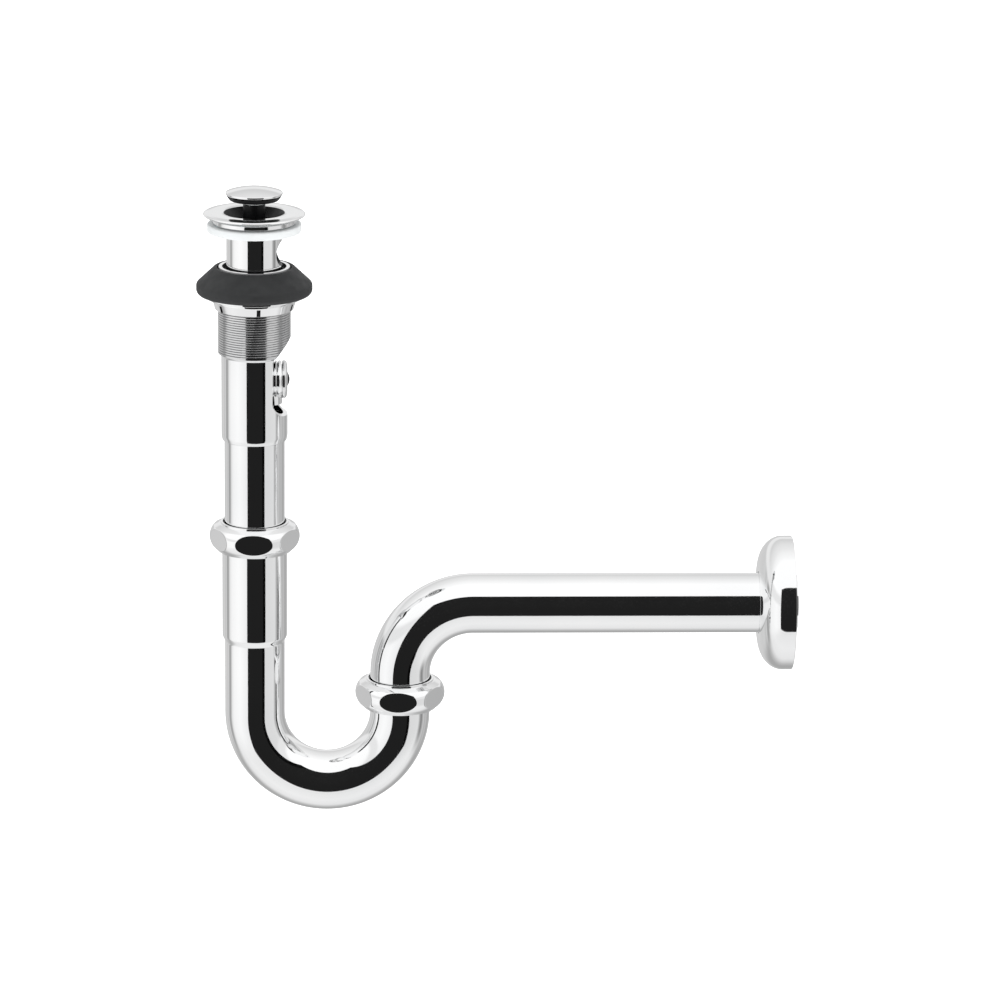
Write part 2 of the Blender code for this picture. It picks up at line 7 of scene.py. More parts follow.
from math import asin, cos, degrees, pi, radians, sin, sqrt

import bmesh
import bpy
from mathutils import Matrix, Vector


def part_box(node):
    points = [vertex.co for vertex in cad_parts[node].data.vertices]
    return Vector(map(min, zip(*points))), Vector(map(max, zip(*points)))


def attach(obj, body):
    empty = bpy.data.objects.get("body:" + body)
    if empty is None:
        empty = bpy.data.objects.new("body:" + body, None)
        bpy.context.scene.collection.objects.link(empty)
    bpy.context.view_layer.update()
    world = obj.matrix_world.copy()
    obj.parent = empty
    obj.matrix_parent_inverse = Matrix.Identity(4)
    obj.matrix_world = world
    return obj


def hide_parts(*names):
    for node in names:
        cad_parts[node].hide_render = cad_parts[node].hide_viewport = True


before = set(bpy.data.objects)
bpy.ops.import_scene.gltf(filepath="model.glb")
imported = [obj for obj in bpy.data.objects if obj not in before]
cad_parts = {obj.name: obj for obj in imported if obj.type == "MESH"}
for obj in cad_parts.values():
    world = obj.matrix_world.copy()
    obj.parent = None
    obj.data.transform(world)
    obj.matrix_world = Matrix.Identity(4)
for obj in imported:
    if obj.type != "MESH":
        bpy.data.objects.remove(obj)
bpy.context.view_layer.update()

MM = 0.001
WELD = 1e-7  # metres
GAP = 0.3  # clearance between neighbouring pieces

# Facets round a revolved piece
SCREW_AROUND = 64
SMALL_AROUND = 96
PIPE_AROUND = 128
BARREL_AROUND = 144
RING_AROUND = 160
WIDE_AROUND = 192
NUT_AROUND = 288

DISPLAY_GAMMA = 2.2
NOISE_LOW, NOISE_HIGH = 0.3, 0.7  # where most values of a noise texture fall


def box_mm(node):
    """Lowest and highest corner of a CAD node, in millimetres."""
    low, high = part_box(node)
    return low / MM, high / MM


def level(node, axis="z"):
    """Lowest and highest value of a CAD node along one axis, in millimetres."""
    low, high = box_mm(node)
    index = "xyz".index(axis)
    return low[index], high[index]


# Driving dimensions, from the frame
barrel_low, barrel_high = box_mm("drain_barrel")
tail_low, tail_high = box_mm("tail_pipe")
bend_low = box_mm("trap_bend")[0]
wall_high = box_mm("wall_pipe")[1]
rosette_low, rosette_high = box_mm("wall_flange")
inlet_high = box_mm("inlet_nut")[1]
outlet_low, outlet_high = box_mm("outlet_nut")

PIPE_R = tail_high.y
PIPE_WALL = 1.0
BORE_R = PIPE_R - PIPE_WALL
OUTLET_X = (outlet_low.x + outlet_high.x) / 2
BEND_R = OUTLET_X / 2
BEND_Z = bend_low.z + BEND_R + PIPE_R
WALL_AXIS_Z = (rosette_low.z + rosette_high.z) / 2
NUT_TOP = 7.9  # from the nut's widest plane
NUT_BOTTOM = -7.8
NUT_LIP_R = 17.9
INLET_NUT_Z = inlet_high.z - NUT_TOP
OUTLET_NUT_Z = outlet_high.z - NUT_TOP
NUT_CREST_R = 23.8
NUT_ROUND_R = 8.2
NUT_APOTHEM = 21.75
PORT_Z = -79.2
BALL_X = 11.8
PLUG_SEAT_Z = level("plug_seal")[1] + GAP


# ---------------------------------------------------------------- materials


def material(name, colour, roughness, metallic=0.0):
    """A Principled material. Returns it with its shader and its node tree."""
    made = bpy.data.materials.new(name)
    made.use_nodes = True
    tree = made.node_tree
    shader = tree.nodes["Principled BSDF"]
    shader.inputs["Base Color"].default_value = (*colour, 1.0)
    shader.inputs["Roughness"].default_value = roughness
    shader.inputs["Metallic"].default_value = metallic
    return made, shader, tree


def noise(tree, scale, detail=3.0, roughness=0.5, stretch=(1, 1, 1)):
    """Noise in object space. Returns its factor output."""
    where = tree.nodes.new("ShaderNodeTexCoord")
    mapping = tree.nodes.new("ShaderNodeMapping")
    mapping.inputs["Scale"].default_value = stretch
    texture = tree.nodes.new("ShaderNodeTexNoise")
    texture.inputs["Scale"].default_value = scale
    texture.inputs["Detail"].default_value = detail
    texture.inputs["Roughness"].default_value = roughness
    tree.links.new(where.outputs["Object"], mapping.inputs["Vector"])
    tree.links.new(mapping.outputs["Vector"], texture.inputs["Vector"])
    return texture.outputs["Fac"]


def spread(tree, factor, low, high):
    """Maps a noise factor to the range from low to high."""
    node = tree.nodes.new("ShaderNodeMapRange")
    node.inputs["From Min"].default_value = NOISE_LOW
    node.inputs["From Max"].default_value = NOISE_HIGH
    node.inputs["To Min"].default_value = low
    node.inputs["To Max"].default_value = high
    tree.links.new(factor, node.inputs["Value"])
    return node.outputs["Result"]


def tint(tree, shader, factor, dark, light):
    """Varies the base colour between two colours."""
    node = tree.nodes.new("ShaderNodeValToRGB")
    for element, place, colour in zip(
        node.color_ramp.elements, (NOISE_LOW, NOISE_HIGH), (dark, light)
    ):
        element.position = place
        element.color = (*colour, 1.0)
    tree.links.new(factor, node.inputs["Fac"])
    tree.links.new(node.outputs["Color"], shader.inputs["Base Color"])


def bump(tree, shader, factor, height_mm, strength):
    """Bump of a real height."""
    node = tree.nodes.new("ShaderNodeBump")
    node.inputs["Strength"].default_value = strength
    node.inputs["Distance"].default_value = height_mm * MM
    tree.links.new(factor, node.inputs["Height"])
    tree.links.new(node.outputs["Normal"], shader.inputs["Normal"])


def polished_chrome():
    """Mirror chrome plate with the faint haze and waviness of buffed brass tube."""
    made, shader, tree = material("polished_chrome", (0.9, 0.9, 0.905), 0.04, 1.0)
    haze = noise(tree, 60, 4)
    tree.links.new(spread(tree, haze, 0.03, 0.075), shader.inputs["Roughness"])
    tint(tree, shader, noise(tree, 18, 2), (0.88, 0.885, 0.89), (0.93, 0.93, 0.93))
    bump(tree, shader, noise(tree, 90, 2), 0.004, 0.5)
    return made


def cast_chrome():
    """Chrome plate over a machined casting: duller, with fine turning marks."""
    made, shader, tree = material("cast_chrome", (0.8, 0.8, 0.805), 0.16, 1.0)
    marks = noise(tree, 500, 2, 0.6, (0.15, 0.15, 3.0))
    tree.links.new(spread(tree, marks, 0.11, 0.24), shader.inputs["Roughness"])
    tint(tree, shader, noise(tree, 35, 3), (0.76, 0.765, 0.77), (0.84, 0.84, 0.84))
    bump(tree, shader, marks, 0.01, 0.5)
    return made


def thread_chrome():
    """Thin plate on the thread, with a soft gloss."""
    made, shader, tree = material("thread_chrome", (0.68, 0.68, 0.685), 0.15, 1.0)
    grime = noise(tree, 120, 4)
    tree.links.new(spread(tree, grime, 0.11, 0.2), shader.inputs["Roughness"])
    tint(tree, shader, noise(tree, 40, 3), (0.62, 0.625, 0.63), (0.73, 0.73, 0.73))
    return made


def groove_shade_chrome():
    """The thread's grooves: thin, dull plate, its colour darkened to near black as painted shade in
    the grooves.
    """
    made, shader, tree = material("groove_shade_chrome", (0.2, 0.2, 0.205), 0.3, 1.0)
    grime = noise(tree, 120, 4)
    tree.links.new(spread(tree, grime, 0.24, 0.38), shader.inputs["Roughness"])
    tint(tree, shader, noise(tree, 60, 3), (0.15, 0.15, 0.155), (0.25, 0.25, 0.255))
    return made


def turned_steel():
    """Stainless steel with turning marks round the vertical axis."""
    made, shader, tree = material("turned_steel", (0.6, 0.6, 0.59), 0.28, 1.0)
    marks = noise(tree, 700, 2, 0.6, (0.1, 0.1, 4.0))
    tree.links.new(spread(tree, marks, 0.2, 0.38), shader.inputs["Roughness"])
    bump(tree, shader, marks, 0.015, 0.6)
    return made


def black_rubber():
    """Moulded rubber: dark grey, matt, with bloom and a fine grain."""
    made, shader, tree = material("black_rubber", (0.022, 0.023, 0.024), 0.6)
    tint(tree, shader, noise(tree, 45, 5), (0.014, 0.015, 0.016), (0.027, 0.028, 0.029))
    tree.links.new(spread(tree, noise(tree, 160, 3), 0.5, 0.68), shader.inputs["Roughness"])
    shader.inputs["Specular IOR Level"].default_value = 0.36
    bump(tree, shader, noise(tree, 1800, 3, 0.6), 0.03, 0.5)
    return made


def black_resin():
    """Injection-moulded black resin with a fine matt texture."""
    made, shader, tree = material("black_resin", (0.006, 0.006, 0.007), 0.35)
    tint(tree, shader, noise(tree, 60, 3), (0.004, 0.004, 0.005), (0.009, 0.009, 0.01))
    tree.links.new(spread(tree, noise(tree, 200, 3), 0.3, 0.48), shader.inputs["Roughness"])
    shader.inputs["Specular IOR Level"].default_value = 0.22
    bump(tree, shader, noise(tree, 1200, 2), 0.012, 0.5)
    return made


def seal_rubber():
    """Soft black rubber of the plug's seal, with a fine bloom."""
    made, shader, tree = material("seal_rubber", (0.007, 0.007, 0.008), 0.5)
    tint(tree, shader, noise(tree, 70, 4), (0.005, 0.005, 0.006), (0.011, 0.011, 0.012))
    tree.links.new(spread(tree, noise(tree, 180, 3), 0.42, 0.58), shader.inputs["Roughness"])
    shader.inputs["Specular IOR Level"].default_value = 0.25
    bump(tree, shader, noise(tree, 1500, 3, 0.6), 0.02, 0.5)
    return made


def recess_shade_coat():
    """Dull plating where the buffing wheel doesn't reach, darkened to near black as painted shade
    in the drain's mouth, the barrel's top recess and the lock nut's slots.
    """
    made, shader, tree = material("recess_shade_coat", (0.02, 0.02, 0.022), 0.4, 0.4)
    tint(tree, shader, noise(tree, 50, 4), (0.012, 0.012, 0.014), (0.03, 0.03, 0.032))
    tree.links.new(spread(tree, noise(tree, 150, 3), 0.32, 0.5), shader.inputs["Roughness"])
    return made


def milky_plastic():
    """Translucent white plastic."""
    made, shader, tree = material("milky_plastic", (0.74, 0.765, 0.77), 0.38)
    tint(tree, shader, noise(tree, 30, 3), (0.71, 0.735, 0.74), (0.78, 0.8, 0.805))
    tree.links.new(spread(tree, noise(tree, 220, 3), 0.3, 0.46), shader.inputs["Roughness"])
    shader.inputs["Subsurface Weight"].default_value = 0.35
    shader.inputs["Subsurface Radius"].default_value = (1.0, 1.0, 1.0)
    shader.inputs["Subsurface Scale"].default_value = 0.002
    bump(tree, shader, noise(tree, 900, 2), 0.01, 0.4)
    return made


# ---------------------------------------------------------------- mesh tools


def lying(bm, x, z):
    """Lays a lathed bmesh along +X, with its local origin at (x, z)."""
    matrix = Matrix.Translation((x, 0, z)) @ Matrix.Rotation(pi / 2, 4, "Y")
    bmesh.ops.transform(bm, matrix=matrix, verts=bm.verts)
    return bm


def spun(bm, angle, offset=(0, 0, 0)):
    """Turns a bmesh about Z by an angle in degrees, then moves it."""
    turn = Matrix.Translation(offset) @ Matrix.Rotation(radians(angle), 4, "Z")
    bmesh.ops.transform(bm, matrix=turn, verts=bm.verts)
    return bm


def make(name, bm, look, body=None, nodes=(), lying_at=None):
    """Turns a bmesh in millimetres into a piece that rides on a body and replaces CAD nodes.

    lying_at is a centre (x, z): the piece's local Z then points along +X from there.
    """
    if lying_at:
        lying(bm, *lying_at)
    bmesh.ops.scale(bm, vec=(MM, MM, MM), verts=bm.verts)
    bmesh.ops.remove_doubles(bm, verts=bm.verts, dist=WELD)
    bmesh.ops.recalc_face_normals(bm, faces=bm.faces)
    mesh = bpy.data.meshes.new(name)
    bm.to_mesh(mesh)
    bm.free()
    mesh.shade_smooth()
    made = bpy.data.objects.new(name, mesh)
    bpy.context.scene.collection.objects.link(made)
    mesh.materials.append(look)
    if body:
        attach(made, body)
    if nodes:
        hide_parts(*nodes)
    return made


def even_normals(piece, angle=40):
    """Keeps flat faces flat beside their rounded edges."""
    piece.data.set_sharp_from_angle(angle=radians(angle))
    modifier = piece.modifiers.new("even_normals", "WEIGHTED_NORMAL")
    modifier.mode = "FACE_AREA"
    modifier.weight = 80
    modifier.keep_sharp = True


def ring(inner, outer, foot, top, trims):
    """The four corners of a plain ring, from its inner foot round to its inner top."""
    corners = ((inner, foot), (outer, foot), (outer, top), (inner, top))
    return [(*corner, trim) for corner, trim in zip(corners, trims)]


def eased(corners, closed=True, steps=5):
    """A polyline whose corners are rounded. A corner is (r, z) or (r, z, trim)."""
    longest_share = 0.48  # of a side, so that two roundings never meet
    points = []
    count = len(corners)
    for i, corner in enumerate(corners):
        here = Vector(corner[:2])
        trim = corner[2] if len(corner) > 2 else 0
        if not trim or (not closed and i in (0, count - 1)):
            points.append(tuple(here))
            continue
        before = Vector(corners[i - 1][:2]) - here
        after = Vector(corners[(i + 1) % count][:2]) - here
        start = here + before.normalized() * min(trim, before.length * longest_share)
        end = here + after.normalized() * min(trim, after.length * longest_share)
        for k in range(steps + 1):
            u = k / steps
            points.append(tuple((1 - u) ** 2 * start + 2 * u * (1 - u) * here + u * u * end))
    return points


def lathe(outline, around=RING_AROUND, shape=None, centre=(0, 0)):
    """Revolves (radius, height) points about Z. A ring closes; a solid starts on the axis.

    shape(radius, height, angle) may change a radius, for threads and flats.
    """
    bm = bmesh.new()
    solid = outline[0][0] == 0 and outline[-1][0] == 0
    rows = []
    for r, z in outline:
        if r == 0:
            rows.append([bm.verts.new((centre[0], centre[1], z))])
            continue
        row = []
        for k in range(around):
            angle = 2 * pi * k / around
            radius = shape(r, z, angle) if shape else r
            row.append(
                bm.verts.new((centre[0] + radius * cos(angle), centre[1] + radius * sin(angle), z))
            )
        rows.append(row)
    pairs = list(zip(rows, rows[1:]))
    if not solid:
        pairs.append((rows[-1], rows[0]))
    for first, second in pairs:
        for k in range(around):
            after = (k + 1) % around
            quad = [first[k % len(first)], first[after % len(first)],
                    second[after % len(second)], second[k % len(second)]]
            face = list(dict.fromkeys(quad))  # a row on the axis is one point
            if len(face) > 2:
                bm.faces.new(face)
    return bm


def prism(outline, depth):
    """Extrudes (x, z) points to both sides of Y = 0."""
    bm = bmesh.new()
    face = bm.faces.new([bm.verts.new((x, -depth, z)) for x, z in outline])
    pushed = bmesh.ops.extrude_face_region(bm, geom=[face])["geom"]
    moved = [v for v in pushed if isinstance(v, bmesh.types.BMVert)]
    bmesh.ops.translate(bm, verts=moved, vec=(0, 2 * depth, 0))
    return bm


def cylinder(radius, foot, top, around=SMALL_AROUND):
    """A solid cylinder about Z."""
    return lathe([(0, foot), (radius, foot), (radius, top), (0, top)], around)


def cut(piece, tools, operation="DIFFERENCE"):
    """Applies Booleans with closed bmeshes (in millimetres) and removes the tools."""
    for bm in tools:
        tool = make("tool", bm, piece.data.materials[0])
        modifier = piece.modifiers.new("cut", "BOOLEAN")
        modifier.operation = operation
        modifier.solver = "MANIFOLD"
        modifier.object = tool
        graph = bpy.context.evaluated_depsgraph_get()
        result = bpy.data.meshes.new_from_object(piece.evaluated_get(graph))
        piece.modifiers.clear()
        piece.data = result
        bpy.data.objects.remove(tool)


def paint(piece, looks, choose):
    """Gives a piece its looks. choose(face, centre, out) picks one for each face by number.

    centre is the face's centre and out its distance from the Z axis, in millimetres.
    """
    piece.data.materials.clear()
    for look in looks:
        piece.data.materials.append(look)
    for face in piece.data.polygons:
        centre = face.center / MM
        face.material_index = choose(face, centre, sqrt(centre.x**2 + centre.y**2))


def arc(centre, radius, start, end, steps):
    """Points on a circle's arc, from start to end in degrees."""
    angles = [radians(start + (end - start) * i / steps) for i in range(steps + 1)]
    return [(centre[0] + radius * cos(a), centre[1] + radius * sin(a)) for a in angles]


def smooth_step(u):
    """0 to 1 with level ends."""
    u = min(1.0, max(0.0, u))
    return u * u * (3 - 2 * u)


def softer_min(a, b, blend):
    """The smaller of two radii, rounded over where they cross."""
    h = min(1.0, max(0.0, 0.5 + 0.5 * (b - a) / blend))
    return b * (1 - h) + a * h - blend * h * (1 - h)


# ---------------------------------------------------------------- pop-up drain


def drain_flange(look, recess_shade_look):
    """Turned flange with a crowned rim, a conical plug seat and an overflow window."""
    low, high = box_mm("drain_flange")
    rim = high.x
    top = high.z
    neck, spigot, bore, seat_foot = 14.6, 14.7, 12.9, 4.8
    joint = level("drain_barrel")[1]
    gasket_top = level("basin_gasket")[1]
    mouth_z, mouth_r = top - 0.4, 15.9
    outline = eased([
        (bore, low.z, 0.3),
        (spigot, low.z, 0.3),
        (spigot, joint + GAP),
        (neck, joint + 2 * GAP),
        (neck, gasket_top + GAP, 0.8),
        (21.8, gasket_top + GAP, 0.5),
        (21.8, 7.2, 0.5),
        (23.8, 8.1, 0.8),
        (rim - 0.5, top - 1.8, 0.35),
        (rim, top - 1.2, 0.35),
        (rim - 0.6, top - 0.55, 0.5),
        (22.5, top, 1.5),
        (17.6, top - 0.1, 0.8),
        (mouth_r, mouth_z, 0.3),
        (bore, seat_foot, 0.8),
    ])
    piece = make("drain_flange_turned", lathe(outline, WIDE_AROUND), look, "drain",
                 ["drain_flange"])
    half_width, half_height, corner, window_z, cut_depth = 9.0, 6.6, 6.0, -11.0, 6
    window = [
        point
        for cx, cz, start in ((1, 1, 0), (-1, 1, 90), (-1, -1, 180), (1, -1, 270))
        for point in arc(
            (cx * (half_width - corner), cz * (half_height - corner)), corner, start, start + 90, 16
        )
    ]
    cut(piece, [spun(prism(window, cut_depth), 90, (neck, 0, window_z))])

    # Faces turned inward inside the mouth get the near-black painted shade.
    def choose(face, centre, out):
        inward = face.normal.x * centre.x + face.normal.y * centre.y < 0
        return 1 if inward and out < mouth_r and centre.z > low.z + 1.0 else 0

    paint(piece, (look, recess_shade_look), choose)
    even_normals(piece, 30)


def fine_thread(pitch, depth, top, foot, crest, fade=1.2, land=0.0):
    """A radius function for a right-hand thread of V grooves between two heights.

    land is the share of the pitch that the flat crest takes.
    """

    def shape(r, z, angle):
        if not foot <= z <= top or abs(r - crest) > 0.01:
            return r
        turn = (z / pitch - angle / (2 * pi)) % 1.0
        groove = max(0.0, 1 - abs(2 * turn - 1) / (1 - land))
        ends = min(smooth_step((top - z) / fade), smooth_step((z - foot) / fade))
        return r - depth * ends * groove

    return shape


def drain_barrel(thread_look, groove_shade_look, smooth_look, recess_shade_look):
    """Barrel with a rolled thread above, a notch at the side and the lever's port in it."""
    top, foot = barrel_high.z, barrel_low.z
    crest, smooth_r, ring_r = barrel_high.y, 17.4, 16.8
    thread_top, thread_end = top - 0.9, -64.7
    pitch, groove_depth, rows_per_turn = 1.27, 0.16, 10
    recess_r, recess_z = ring_r - 0.2, top - 2.0
    rows = int((thread_top - thread_end) / pitch * rows_per_turn)
    outline = eased([(0, foot), (16.9, foot, 0.4), (smooth_r, foot + 2.4, 0.8),
                     (smooth_r, thread_end - 1.6)], closed=False)
    outline += [(smooth_r, thread_end - 1.2), (crest - 0.5, thread_end - 0.1)]
    outline += [(crest, thread_end + (thread_top - thread_end) * i / rows)
                for i in range(rows + 1)]
    outline += [(crest - 0.5, top), (ring_r, top), (recess_r, top - 0.2), (recess_r, recess_z),
                (0, recess_z)]
    shape = fine_thread(pitch, groove_depth, thread_top, thread_end, crest, land=0.5)
    piece = make("drain_barrel_threaded", lathe(outline, BARREL_AROUND, shape), smooth_look,
                 "drain", ["drain_barrel"])

    notch_x, notch_top, scoop, outside, slope = 9.4, -66.9, 8.5, 22.0, 1.158
    scoop_z = PORT_Z - 9.8
    notch = [(outside, scoop_z - scoop), (notch_x + scoop, scoop_z - scoop)]
    notch += arc((notch_x + scoop, scoop_z), scoop, 270, 180, 16)[1:]
    notch += [(notch_x, notch_top), (outside, notch_top + slope * (outside - notch_x))]
    cut(piece, [prism(notch, 24)])

    port_r, port_inner, port_start, port_end, groove = 10.0, 6.5, notch_x + 0.2, 14.2, 1.7
    boss = [(0, port_inner), (port_r, port_inner), (port_r, port_start)]
    for k in range(2):
        start = port_start + groove * k
        boss += [(port_r - 0.9, start + groove * 0.5), (port_r, start + groove * 0.85),
                 (port_r, start + groove)]
    boss += [(port_r - 0.5, port_end), (0, port_end)]
    rib_r, rib_x, rib_foot, rib_top = 5.9, 8.6, -98.2, -80.0
    rib = spun(cylinder(rib_r, rib_foot, rib_top, 64), 0, (rib_x, 0, 0))
    cut(piece, [lying(lathe(boss, SMALL_AROUND), 0, PORT_Z), rib], "UNION")

    bore, pad_x, pad_top, pad_foot, overlap = 15.0, 5.0, -67.0, -92.0, 0.15
    waterway = cylinder(bore, pad_foot - overlap, pad_top + overlap)
    for vert in waterway.verts:
        vert.co.x = min(vert.co.x, pad_x)
    socket_r, socket_top, below = PIPE_R + GAP, tail_high.z + GAP, foot - 5
    ball_r, seat_x, gland_r, beyond = 6.5, 7.1, 8.2, 18
    cut(piece, [
        cylinder(bore, pad_top, 0),
        lathe([(0, below), (socket_r, below), (socket_r, socket_top), (bore, socket_top),
               (bore, pad_foot), (0, pad_foot)], SMALL_AROUND),
        lying(lathe([(0, 0.5), (ball_r, 0.5), (ball_r, seat_x), (gland_r, seat_x),
                     (gland_r, beyond), (0, beyond)], SMALL_AROUND), 0, PORT_Z),
        waterway,
    ])

    # The top recess round the neck gets the near-black painted shade, and the thread's grooves a
    # dark chrome that is painted shade.
    def choose(face, centre, out):
        if centre.z > recess_z - 0.1 and out < ring_r - 0.1:
            return 3
        if centre.z < thread_end - 0.2 or centre.z > top - 0.1 or out < smooth_r:
            return 0
        return 2 if out < crest - groove_depth * 0.3 else 1

    paint(piece, (smooth_look, thread_look, groove_shade_look, recess_shade_look), choose)
    even_normals(piece, 50)


def turned(name, node, corners, look, body, slot, around=RING_AROUND, lying_at=None, **more):
    """A round piece in place of one CAD node."""
    bm = lathe(eased(corners, closed=corners[0][0] > 0), around, **more)
    even_normals(make(name, bm, look, body, [node], lying_at))


def drain_rings(chrome, cast, milky):
    """Tail pipe, gasket and the parts of the lever's port."""
    turned("tail_pipe_drawn", "tail_pipe",
           ring(BORE_R, PIPE_R, tail_low.z, tail_high.z, (0.2, 0.4, 0.2, 0.2)),
           chrome, "drain", "chrome", PIPE_AROUND)
    foot, top = level("basin_gasket")
    outer = level("basin_gasket", "x")[1]
    turned("basin_gasket_moulded", "basin_gasket",
           ring(15.4, outer, foot, top, (0.3, 1.1, 1.1, 0.3)),
           milky, "drain", "white_plastic")
    start, end = level("lever_gland", "x")
    turned("lever_gland_turned", "lever_gland",
           [(6.9, start, 0.2), (7.9, start, 0.2), (7.9, 14.5, 0.1), (10.0, 14.5, 0.25),
            (10.0, 16.0, 0.4), (9.2, 16.8, 0.5), (7.2, end, 0.4), (6.0, end, 0.3),
            (6.0, 15.1, 0.2), (6.9, 13.9, 0.2)],
           cast, "drain", "satin_chrome", PIPE_AROUND, (0, PORT_Z))
    start, end = level("lever_seat", "x")
    turned("lever_seat_ring", "lever_seat",
           ring(5.9, 7.9, start, end, (0.2, 0.2, 0.2, 0.2)),
           milky, "drain", "white_plastic", SMALL_AROUND, (0, PORT_Z))


def lever(resin, steel):
    """Ball and rod at the open plug's tilt, on their own local axis."""
    tilt = radians(29.5)
    place = Matrix.Translation((BALL_X, 0, PORT_Z)) @ Matrix.Rotation(pi / 2 + tilt, 4, "Y")
    ball_r, rod_r, reach, socket_r, socket_depth = 6.6, 2.0, 20.0, 1.8, 4.0
    hole_r, hole_end, rod_end = rod_r + GAP, -2.0, -2.3
    face = sqrt(ball_r**2 - socket_r**2)
    start = degrees(asin(-sqrt(ball_r**2 - hole_r**2) / ball_r))
    end = degrees(asin(face / ball_r))
    outline = [(0, hole_end), (hole_r, hole_end)] + arc((0, 0), ball_r, start, end, 40)
    outline += [(socket_r, face - socket_depth), (0, face - socket_depth)]
    ball = lathe(outline, SMALL_AROUND)
    outline = [(0, -reach)] + arc((0, rod_r - reach), rod_r, 270, 360, 12)[1:]
    outline += [(rod_r, rod_end), (0, rod_end)]
    rod = lathe(outline, SCREW_AROUND)
    for bm in (ball, rod):
        bmesh.ops.transform(bm, matrix=place, verts=bm.verts)
    even_normals(make("lever_ball_turned", ball, resin, "lever", ["lever_ball"]))
    even_normals(make("lever_rod_drawn", rod, steel, "lever", ["lever_rod"]))


def plug(chrome, resin, rubber, milky, steel):
    """Cap, seal, collar, stem, hair catcher and height screw."""
    seat = PLUG_SEAT_Z
    cap_r = level("plug_cap", "x")[1]
    cap_foot, cap_top = level("plug_cap")
    edge = seat + 1.4
    crown = cap_top - edge
    dome_r = (cap_r**2 + crown**2) / (2 * crown)
    half = degrees(asin(cap_r / dome_r))
    hub = 6.4
    dome = arc((0, cap_top - dome_r), dome_r, 90 - half, 90, 24)
    corners = [(0, cap_foot), (hub, cap_foot, 0.2), (hub, seat, 0.2), (cap_r - 0.5, seat, 0.2),
               (cap_r, seat + 0.5, 0.2), (dome[0][0], dome[0][1], 0.3)]
    corners += dome[2:-1] + [(0, cap_top)]
    turned("plug_cap_polished", "plug_cap", corners, chrome, "plug", "chrome", WIDE_AROUND)
    foot, top = level("plug_seal")
    turned("plug_seal_moulded", "plug_seal",
           [(hub + GAP, foot, 0.1), (12.8, foot, 0.3), (14.4, top, 0.2), (hub + GAP, top, 0.1)],
           rubber, "plug", "black_rubber")
    foot, top = level("seal_retainer")
    turned("seal_retainer_ring", "seal_retainer",
           ring(2.4, 7.2, foot, top, (0.1, 0.2, 0.2, 0.1)),
           milky, "plug", "white_plastic", SMALL_AROUND)
    foot, top = level("plug_stem")
    hole_r, stem_r, hole_top = 3.3, 5.8, foot + 12
    turned("plug_stem_moulded", "plug_stem",
           [(hole_r, foot, 0.1), (stem_r, foot, 0.3), (stem_r, top, 0.5), (0, top),
            (0, hole_top), (hole_r, hole_top)],
           resin, "plug", "black_plastic", SMALL_AROUND)
    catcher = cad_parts["hair_catcher"].data
    catcher.materials.clear()
    catcher.materials.append(resin)
    height_screw(steel)


def height_screw(steel):
    """A rolled M6 thread over a rounded foot, with a hex nut."""
    foot, top = level("height_screw")
    radius = level("height_screw", "x")[1]
    thread_foot = foot + radius + 1.5
    rows = 150
    outline = [(0, foot)] + arc((0, foot + radius), radius, 270, 360, 12)[1:]
    outline += [(radius, thread_foot + (top - thread_foot) * i / rows) for i in range(rows + 1)]
    outline += [(0, top)]
    pitch, groove_depth = 1.0, 0.55
    shape = fine_thread(pitch, groove_depth, top, thread_foot, radius, 0.6)
    make("height_screw_rolled", lathe(outline, SCREW_AROUND, shape), steel, "plug",
         ["height_screw"])
    foot, top = level("screw_lock_nut")
    apothem = level("screw_lock_nut", "y")[1]

    def hexagon(r, z, angle):
        side = (angle + pi / 6) % (pi / 3) - pi / 6
        return softer_min(r, apothem / cos(side), 0.1) if r > 4.5 else r

    turned("screw_lock_nut_hex", "screw_lock_nut",
           [(3.9, foot, 0.1), (6.2, foot, 0.3), (6.5, foot + 0.5), (6.5, top - 0.5),
            (6.2, top, 0.3), (3.9, top, 0.1)],
           steel, "plug", "stainless_steel", BARREL_AROUND, shape=hexagon)


def basin_clamp(chrome, rubber, slot_shade_look):
    """Rubber cone, washer and slotted ring nut."""
    foot, top = level("cone_gasket")
    hole = 19.4
    outer = level("cone_gasket", "x")[1]
    turned("cone_gasket_moulded", "cone_gasket",
           [(hole, foot, 0.2), (28.9, foot, 1.0), (outer, -31.6, 1.2), (outer, -27.7, 1.0),
            (20.9, top, 0.6), (hole, top, 0.3)],
           rubber, "clamp", "black_rubber", WIDE_AROUND)
    foot, top = level("thrust_washer")
    outer = level("thrust_washer", "x")[1]
    turned("thrust_washer_pressed", "thrust_washer",
           ring(hole, outer, foot, top, (0.2, 0.3, 0.4, 0.2)),
           chrome, "clamp", "chrome")
    foot, top = level("lock_nut")
    outer = level("lock_nut", "x")[1]
    outline = eased([(hole, foot, 0.2), (20.6, foot, 0.3), (outer, top - 1.2, 0.5),
                     (outer, top, 0.3), (hole, top, 0.2)])
    nut = make("lock_nut_slotted", lathe(outline, WIDE_AROUND), chrome, "lock_nut",
               ["lock_nut"])
    slot_foot_r, reach, slot_top, slot_count, first_slot = 19.8, 24.4, foot + 3.9, 6, -84
    slot = [(slot_foot_r, foot - 4), (reach, foot - 4), (reach, slot_top),
            (slot_foot_r, slot_top)]
    cut(nut, [spun(prism(slot, 1.0), first_slot + 360 / slot_count * k)
              for k in range(slot_count)])

    # The slots' walls and floors get the near-black painted shade.
    def choose(face, centre, out):
        across = abs(face.normal.x * centre.x + face.normal.y * centre.y) / out
        wall = across < 0.3 and abs(face.normal.z) < 0.3
        floor = abs(out - slot_foot_r) < 0.06 and centre.z < slot_top
        return 1 if wall or floor else 0

    paint(nut, (chrome, slot_shade_look), choose)
    even_normals(nut, 30)


# ---------------------------------------------------------------- pipework


